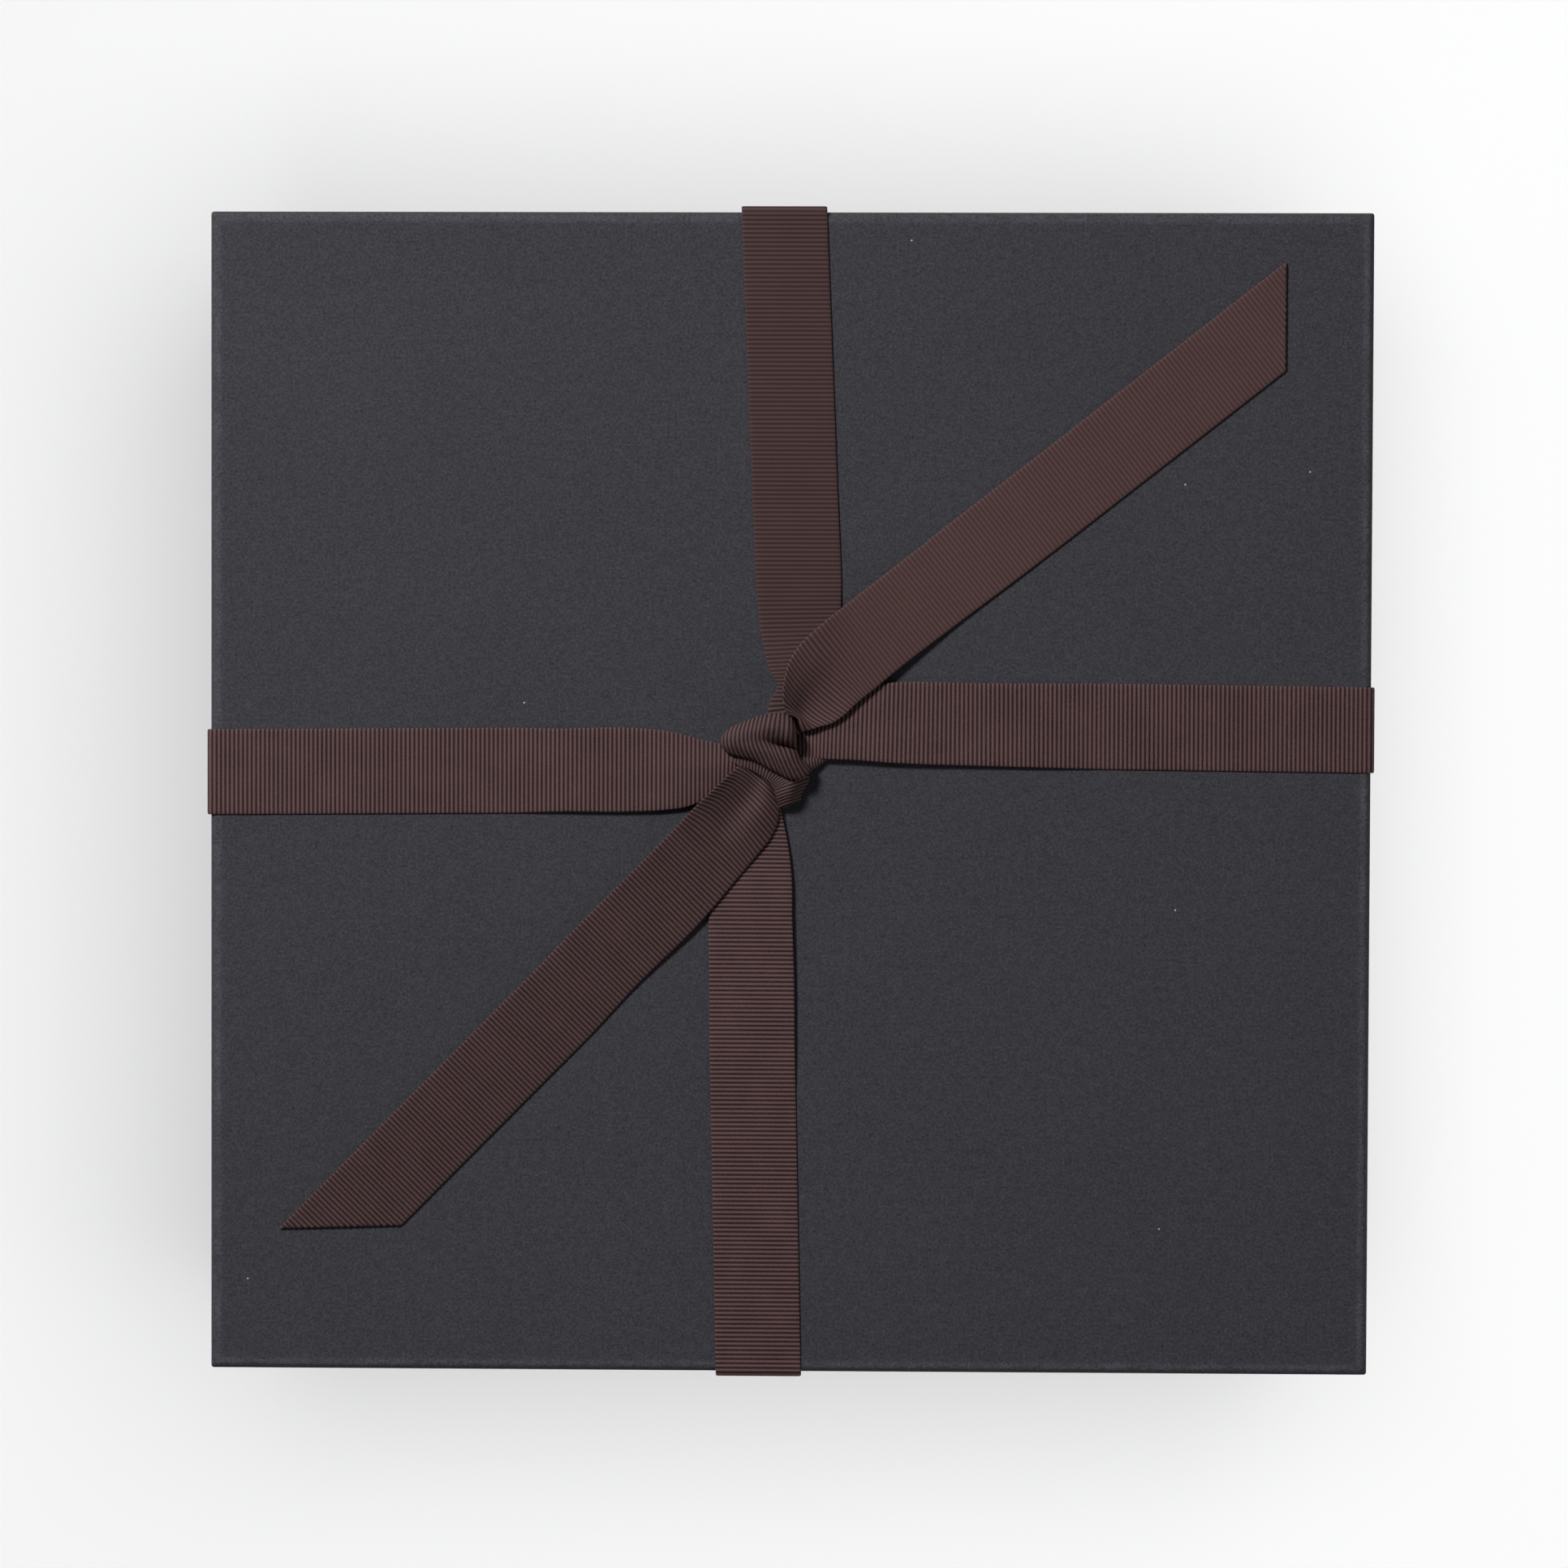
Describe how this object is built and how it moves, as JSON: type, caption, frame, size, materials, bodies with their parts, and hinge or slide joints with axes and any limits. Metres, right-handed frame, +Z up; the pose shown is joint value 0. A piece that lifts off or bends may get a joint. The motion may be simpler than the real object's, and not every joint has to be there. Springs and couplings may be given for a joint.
{
  "type": "gift box",
  "caption": "Square rigid gift box with a lift-off lid, covered in matt charcoal paper and tied with a dark brown grosgrain ribbon knotted on top.",
  "frame": {"origin": "centre of the underside", "axes": "+Z up out of the lid, +X right, +Y towards the back edge"},
  "size_m": [0.301, 0.301, 0.1086],
  "materials": {
    "cover_paper": "matt uncoated charcoal paper with a fine fibre mottle",
    "lining_paper": "matt dark lining paper",
    "grey_board": "raw recycled grey board",
    "stay_paper": "brown kraft stay paper",
    "grosgrain_ribbon": "ribbed dark brown grosgrain with a soft sheen"
  },
  "bodies": {
    "base": {"base_board": "grey_board", "base_stay_back_right": "stay_paper", "base_stay_back_left": "stay_paper", "base_stay_front_left": "stay_paper", "base_stay_front_right": "stay_paper", "base_cover": "cover_paper", "base_lining": "lining_paper", "base_bottom_sheet": "cover_paper"},
    "lid": {"lid_board": "grey_board", "lid_stay_back_right": "stay_paper", "lid_stay_back_left": "stay_paper", "lid_stay_front_left": "stay_paper", "lid_stay_front_right": "stay_paper", "lid_cover": "cover_paper", "lid_lining": "lining_paper", "ribbon_arm_right": "grosgrain_ribbon", "ribbon_arm_back": "grosgrain_ribbon", "ribbon_arm_left": "grosgrain_ribbon", "ribbon_arm_front": "grosgrain_ribbon", "ribbon_knot": "grosgrain_ribbon"},
    "tail_right": {"ribbon_tail_right": "grosgrain_ribbon"},
    "tail_left": {"ribbon_tail_left": "grosgrain_ribbon"}
  },
  "joints": [
    {"name": "lid_lift", "type": "slide", "parent": "base", "child": "lid", "axis": [0, 0, 1], "range_m": [0, 0.15]},
    {"name": "tail_right_lift", "type": "hinge", "parent": "lid", "child": "tail_right", "pos_m": [0.0035, 0.0205, 0.1045], "axis": [0.617, -0.7869, 0], "range_deg": [0, 75]},
    {"name": "tail_left_lift", "type": "hinge", "parent": "lid", "child": "tail_left", "pos_m": [-0.0115, 0.002, 0.1036], "axis": [-0.712, 0.7022, 0], "range_deg": [0, 75]}
  ]
}
